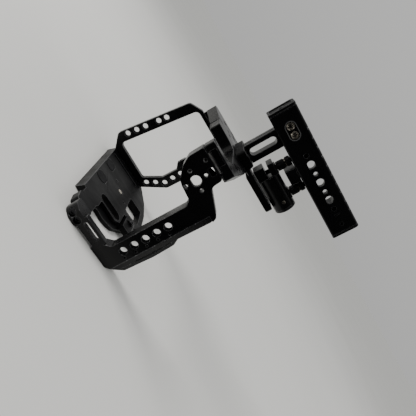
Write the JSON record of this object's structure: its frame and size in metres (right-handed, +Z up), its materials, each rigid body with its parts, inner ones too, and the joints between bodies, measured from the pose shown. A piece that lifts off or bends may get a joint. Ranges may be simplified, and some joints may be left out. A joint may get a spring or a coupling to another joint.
{
  "type": "camera cage rig with top handle",
  "caption": "Open camera cage with slotted side frames, a notched top plate and a raised handle bar carrying a rod clamp.",
  "frame": {"origin": "on the underside of the bottom plate, beside the long slot, below the camera bay", "axes": "+Z up, -Y towards the lens, +X towards the camera's left side"},
  "size_m": [0.17, 0.1793, 0.1883],
  "materials": {
    "black_anodised": "satin black anodised",
    "dark_anodised": "fine blasted dark grey-black anodised",
    "black_steel": "black oxide",
    "stainless": "bright, slightly warm",
    "rubber": "matt",
    "nylon": "matt"
  },
  "bodies": {
    "cage": {"left_side_frame": "black_anodised", "right_side_frame": "black_anodised", "top_plate": "black_anodised", "cable_clamp": "black_anodised", "handle_base": "black_anodised", "front_arm": "black_anodised", "riser": "black_anodised", "handle_body": "black_anodised", "bottom_plate": "dark_anodised", "handle_cap_front": "dark_anodised", "handle_cap_rear": "dark_anodised", "base_screw_front": "black_steel", "base_screw_rear": "black_steel", "far_foot_screw_front": "black_steel", "far_foot_screw_rear": "black_steel", "far_top_screw_front": "black_steel", "far_top_screw_rear": "black_steel", "handle_cap_screw_front": "black_steel", "handle_cap_screw_rear": "black_steel", "near_foot_screw_front": "black_steel", "near_foot_screw_rear": "black_steel", "near_top_screw_front": "black_steel", "near_top_screw_rear": "black_steel", "riser_bolt_front": "black_steel", "riser_bolt_rear": "black_steel", "handle_screw_front": "stainless", "handle_screw_rear": "stainless", "inner_pad": "rubber", "outer_pad": "rubber"},
    "camera_screw_carrier": {"camera_screw_washer": "nylon"},
    "camera_screw": {"camera_screw": "stainless"},
    "lens_support": {"lens_support": "black_anodised"},
    "lens_support_screw": {"lens_support_screw": "black_steel"},
    "cable_clamp_screw": {"cable_clamp_screw": "black_steel"},
    "clamp_carriage": {"rod_clamp": "black_anodised", "slide_block": "dark_anodised", "channel_nut_front": "black_steel", "channel_nut_rear": "black_steel"},
    "thumb_screw_rear": {"thumb_screw_rear": "black_steel"},
    "thumb_screw_front": {"thumb_screw_front": "black_steel"},
    "rod_set_screw": {"rod_set_screw": "stainless"}
  },
  "joints": [
    {"name": "camera_screw_lift", "type": "slide", "parent": "cage", "child": "camera_screw_carrier", "axis": [0, 0, 1], "range_m": [0, 0.0024]},
    {"name": "camera_screw_turn", "type": "hinge", "parent": "camera_screw_carrier", "child": "camera_screw", "pos_m": [0.023, 0, 0.004], "axis": [0, 0, 1], "continuous": true},
    {"name": "lens_support_slide", "type": "slide", "parent": "cage", "child": "lens_support", "axis": [0, 1, 0], "range_m": [-0.0025, 0.0015]},
    {"name": "lens_support_screw_turn", "type": "hinge", "parent": "cage", "child": "lens_support_screw", "pos_m": [-0.012, -0.0235, 0.012], "axis": [0, 0, 1], "continuous": true},
    {"name": "cable_clamp_screw_turn", "type": "hinge", "parent": "cage", "child": "cable_clamp_screw", "pos_m": [0.0845, -0.016, 0.0605], "axis": [0, 1, 0], "continuous": true},
    {"name": "clamp_carriage_slide", "type": "slide", "parent": "cage", "child": "clamp_carriage", "axis": [0, 1, 0], "range_m": [-0.016, 0.003]},
    {"name": "thumb_screw_rear_turn", "type": "hinge", "parent": "clamp_carriage", "child": "thumb_screw_rear", "pos_m": [0.01525, -0.05, 0.15], "axis": [0, 0, 1], "continuous": true},
    {"name": "thumb_screw_front_turn", "type": "hinge", "parent": "clamp_carriage", "child": "thumb_screw_front", "pos_m": [0.01525, -0.077, 0.15], "axis": [0, 0, 1], "continuous": true},
    {"name": "rod_set_screw_turn", "type": "hinge", "parent": "clamp_carriage", "child": "rod_set_screw", "pos_m": [0.0058, -0.08, 0.1382], "axis": [1, 0, 0], "continuous": true}
  ]
}
